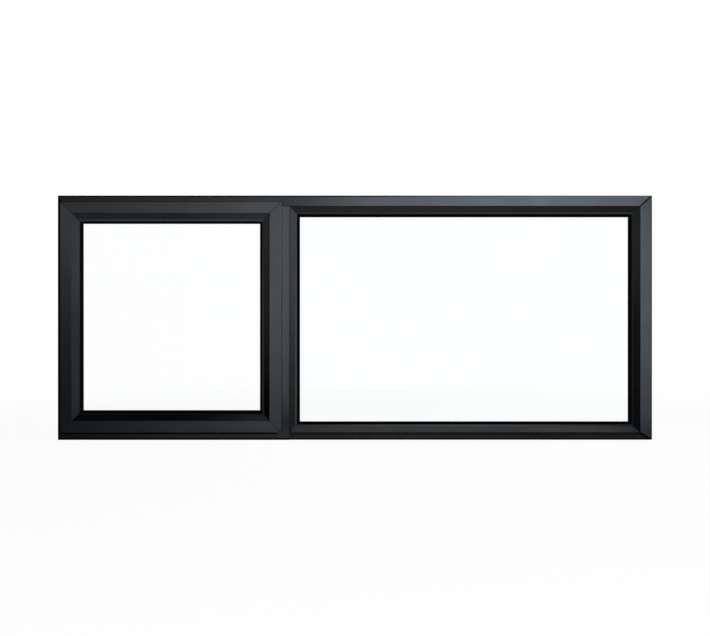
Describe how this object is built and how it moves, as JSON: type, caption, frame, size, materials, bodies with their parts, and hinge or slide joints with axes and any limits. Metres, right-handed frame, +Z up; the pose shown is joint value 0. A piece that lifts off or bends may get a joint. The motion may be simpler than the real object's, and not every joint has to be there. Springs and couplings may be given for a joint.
{
  "type": "top-hung window",
  "caption": "Black aluminium window with a narrow top-hung sash beside a wide fixed light, clear glazed with sloped mitred beads and black gaskets.",
  "frame": {"origin": "middle of the frame's underside: half of the overall width and half of the frame's depth", "axes": "+X to the right as seen from outside, +Y into the room, +Z up; the sash's outside faces -Y"},
  "size_m": [1.5, 0.052, 0.617],
  "materials": {
    "frame_finish": "satin black powder coat",
    "sash_finish": "satin black powder coat",
    "bead_finish": "satin black powder coat",
    "gasket": "matt black",
    "seal": "matt black",
    "setting_block": "moulded black",
    "glass": "clear float",
    "stay_steel": "brushed stainless",
    "handle_finish": "satin black cast",
    "keep_steel": "zinc plated"
  },
  "bodies": {
    "root": {"frame_head": "frame_finish", "frame_left_jamb": "frame_finish", "frame_right_jamb": "frame_finish", "frame_mullion": "frame_finish", "frame_sill_left": "frame_finish", "frame_sill_right": "frame_finish", "sash_top_rail": "sash_finish", "sash_bottom_rail": "sash_finish", "sash_left_stile": "sash_finish", "sash_right_stile": "sash_finish", "fixed_bead_top": "bead_finish", "fixed_bead_bottom": "bead_finish", "fixed_bead_left": "bead_finish", "fixed_bead_right": "bead_finish", "sash_bead_top": "bead_finish", "sash_bead_bottom": "bead_finish", "sash_bead_left": "bead_finish", "sash_bead_right": "bead_finish", "fixed_gasket_outer": "gasket", "fixed_gasket_inner": "gasket", "sash_gasket_outer": "gasket", "sash_gasket_inner": "gasket", "fixed_setting_blocks": "setting_block", "sash_setting_blocks": "setting_block", "sash_lap_seal": "seal", "sash_weather_seal": "seal", "left_stay_track": "stay_steel", "left_stay_arm": "stay_steel", "left_stay_bar": "stay_steel", "right_stay_track": "stay_steel", "right_stay_arm": "stay_steel", "right_stay_bar": "stay_steel", "fixed_glass": "glass", "sash_glass": "glass", "handle_base": "handle_finish", "handle_lever": "handle_finish", "handle_keep": "keep_steel"}
  },
  "joints": []
}
